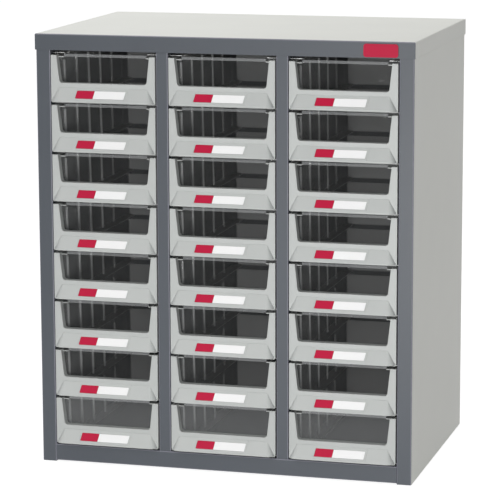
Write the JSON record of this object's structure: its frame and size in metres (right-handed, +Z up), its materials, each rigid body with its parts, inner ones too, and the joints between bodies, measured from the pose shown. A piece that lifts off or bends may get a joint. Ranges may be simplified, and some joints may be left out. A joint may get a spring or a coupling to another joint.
{
  "type": "parts bin cabinet",
  "caption": "Free-standing steel cabinet with columns of clear-fronted sliding parts drawers, folded sheet carcass, pull lips and label slots.",
  "frame": {"origin": "on the standing surface, under the middle of the whole box at rest, drawers shut and lips included", "axes": "+X to the right, +Y to the back, +Z up; the drawers open towards -Y"},
  "size_m": [0.587, 0.4048, 0.6655],
  "materials": {
    "shell_paint": "fine satin powder coat, pale warm grey; the front faces of the posts and cap are dark grey",
    "frame_paint": "fine satin powder coat, dark blue-grey",
    "runner_steel": "pale zinc plating, polished where the drawers slide",
    "clear_plastic": "clear moulded polystyrene with a slight smoky tint",
    "front_plastic": "pale grey moulded ABS, satin",
    "red_plastic": "plain red, smooth",
    "label_card": "plain white card",
    "rivet_metal": "dull rivet heads"
  },
  "bodies": {
    "cabinet": {"top_cap": "shell_paint", "side_panel_left": "shell_paint", "side_panel_right": "shell_paint", "side_liner_left": "frame_paint", "side_liner_right": "frame_paint", "partition_left": "frame_paint", "partition_right": "frame_paint", "back_panel": "frame_paint", "floor_pan": "frame_paint", "drawer_runners": "runner_steel", "badge_plate": "red_plastic", "back_rivets": "rivet_metal"},
    "drawer_a1": {"drawer_a1_tub": "clear_plastic", "drawer_a1_front": "front_plastic"},
    "drawer_a2": {"drawer_a2_tub": "clear_plastic", "drawer_a2_front": "front_plastic"},
    "drawer_a3": {"drawer_a3_tub": "clear_plastic", "drawer_a3_front": "front_plastic"},
    "drawer_a4": {"drawer_a4_tub": "clear_plastic", "drawer_a4_front": "front_plastic"},
    "drawer_a5": {"drawer_a5_tub": "clear_plastic", "drawer_a5_front": "front_plastic"},
    "drawer_a6": {"drawer_a6_tub": "clear_plastic", "drawer_a6_front": "front_plastic"},
    "drawer_a7": {"drawer_a7_tub": "clear_plastic", "drawer_a7_front": "front_plastic"},
    "drawer_a8": {"drawer_a8_tub": "clear_plastic", "drawer_a8_front": "front_plastic"},
    "drawer_b1": {"drawer_b1_tub": "clear_plastic", "drawer_b1_front": "front_plastic"},
    "drawer_b2": {"drawer_b2_tub": "clear_plastic", "drawer_b2_front": "front_plastic"},
    "drawer_b3": {"drawer_b3_tub": "clear_plastic", "drawer_b3_front": "front_plastic"},
    "drawer_b4": {"drawer_b4_tub": "clear_plastic", "drawer_b4_front": "front_plastic"},
    "drawer_b5": {"drawer_b5_tub": "clear_plastic", "drawer_b5_front": "front_plastic"},
    "drawer_b6": {"drawer_b6_tub": "clear_plastic", "drawer_b6_front": "front_plastic"},
    "drawer_b7": {"drawer_b7_tub": "clear_plastic", "drawer_b7_front": "front_plastic"},
    "drawer_b8": {"drawer_b8_tub": "clear_plastic", "drawer_b8_front": "front_plastic"},
    "drawer_c1": {"drawer_c1_tub": "clear_plastic", "drawer_c1_front": "front_plastic"},
    "drawer_c2": {"drawer_c2_tub": "clear_plastic", "drawer_c2_front": "front_plastic"},
    "drawer_c3": {"drawer_c3_tub": "clear_plastic", "drawer_c3_front": "front_plastic"},
    "drawer_c4": {"drawer_c4_tub": "clear_plastic", "drawer_c4_front": "front_plastic"},
    "drawer_c5": {"drawer_c5_tub": "clear_plastic", "drawer_c5_front": "front_plastic"},
    "drawer_c6": {"drawer_c6_tub": "clear_plastic", "drawer_c6_front": "front_plastic"},
    "drawer_c7": {"drawer_c7_tub": "clear_plastic", "drawer_c7_front": "front_plastic"},
    "drawer_c8": {"drawer_c8_tub": "clear_plastic", "drawer_c8_front": "front_plastic"}
  },
  "joints": [
    {"name": "drawer_a1_slide", "type": "slide", "parent": "cabinet", "child": "drawer_a1", "axis": [0, -1, 0], "range_m": [0, 0.27]},
    {"name": "drawer_a2_slide", "type": "slide", "parent": "cabinet", "child": "drawer_a2", "axis": [0, -1, 0], "range_m": [0, 0.27]},
    {"name": "drawer_a3_slide", "type": "slide", "parent": "cabinet", "child": "drawer_a3", "axis": [0, -1, 0], "range_m": [0, 0.27]},
    {"name": "drawer_a4_slide", "type": "slide", "parent": "cabinet", "child": "drawer_a4", "axis": [0, -1, 0], "range_m": [0, 0.27]},
    {"name": "drawer_a5_slide", "type": "slide", "parent": "cabinet", "child": "drawer_a5", "axis": [0, -1, 0], "range_m": [0, 0.27]},
    {"name": "drawer_a6_slide", "type": "slide", "parent": "cabinet", "child": "drawer_a6", "axis": [0, -1, 0], "range_m": [0, 0.27]},
    {"name": "drawer_a7_slide", "type": "slide", "parent": "cabinet", "child": "drawer_a7", "axis": [0, -1, 0], "range_m": [0, 0.27]},
    {"name": "drawer_a8_slide", "type": "slide", "parent": "cabinet", "child": "drawer_a8", "axis": [0, -1, 0], "range_m": [0, 0.27]},
    {"name": "drawer_b1_slide", "type": "slide", "parent": "cabinet", "child": "drawer_b1", "axis": [0, -1, 0], "range_m": [0, 0.27]},
    {"name": "drawer_b2_slide", "type": "slide", "parent": "cabinet", "child": "drawer_b2", "axis": [0, -1, 0], "range_m": [0, 0.27]},
    {"name": "drawer_b3_slide", "type": "slide", "parent": "cabinet", "child": "drawer_b3", "axis": [0, -1, 0], "range_m": [0, 0.27]},
    {"name": "drawer_b4_slide", "type": "slide", "parent": "cabinet", "child": "drawer_b4", "axis": [0, -1, 0], "range_m": [0, 0.27]},
    {"name": "drawer_b5_slide", "type": "slide", "parent": "cabinet", "child": "drawer_b5", "axis": [0, -1, 0], "range_m": [0, 0.27]},
    {"name": "drawer_b6_slide", "type": "slide", "parent": "cabinet", "child": "drawer_b6", "axis": [0, -1, 0], "range_m": [0, 0.27]},
    {"name": "drawer_b7_slide", "type": "slide", "parent": "cabinet", "child": "drawer_b7", "axis": [0, -1, 0], "range_m": [0, 0.27]},
    {"name": "drawer_b8_slide", "type": "slide", "parent": "cabinet", "child": "drawer_b8", "axis": [0, -1, 0], "range_m": [0, 0.27]},
    {"name": "drawer_c1_slide", "type": "slide", "parent": "cabinet", "child": "drawer_c1", "axis": [0, -1, 0], "range_m": [0, 0.27]},
    {"name": "drawer_c2_slide", "type": "slide", "parent": "cabinet", "child": "drawer_c2", "axis": [0, -1, 0], "range_m": [0, 0.27]},
    {"name": "drawer_c3_slide", "type": "slide", "parent": "cabinet", "child": "drawer_c3", "axis": [0, -1, 0], "range_m": [0, 0.27]},
    {"name": "drawer_c4_slide", "type": "slide", "parent": "cabinet", "child": "drawer_c4", "axis": [0, -1, 0], "range_m": [0, 0.27]},
    {"name": "drawer_c5_slide", "type": "slide", "parent": "cabinet", "child": "drawer_c5", "axis": [0, -1, 0], "range_m": [0, 0.27]},
    {"name": "drawer_c6_slide", "type": "slide", "parent": "cabinet", "child": "drawer_c6", "axis": [0, -1, 0], "range_m": [0, 0.27]},
    {"name": "drawer_c7_slide", "type": "slide", "parent": "cabinet", "child": "drawer_c7", "axis": [0, -1, 0], "range_m": [0, 0.27]},
    {"name": "drawer_c8_slide", "type": "slide", "parent": "cabinet", "child": "drawer_c8", "axis": [0, -1, 0], "range_m": [0, 0.27]}
  ]
}
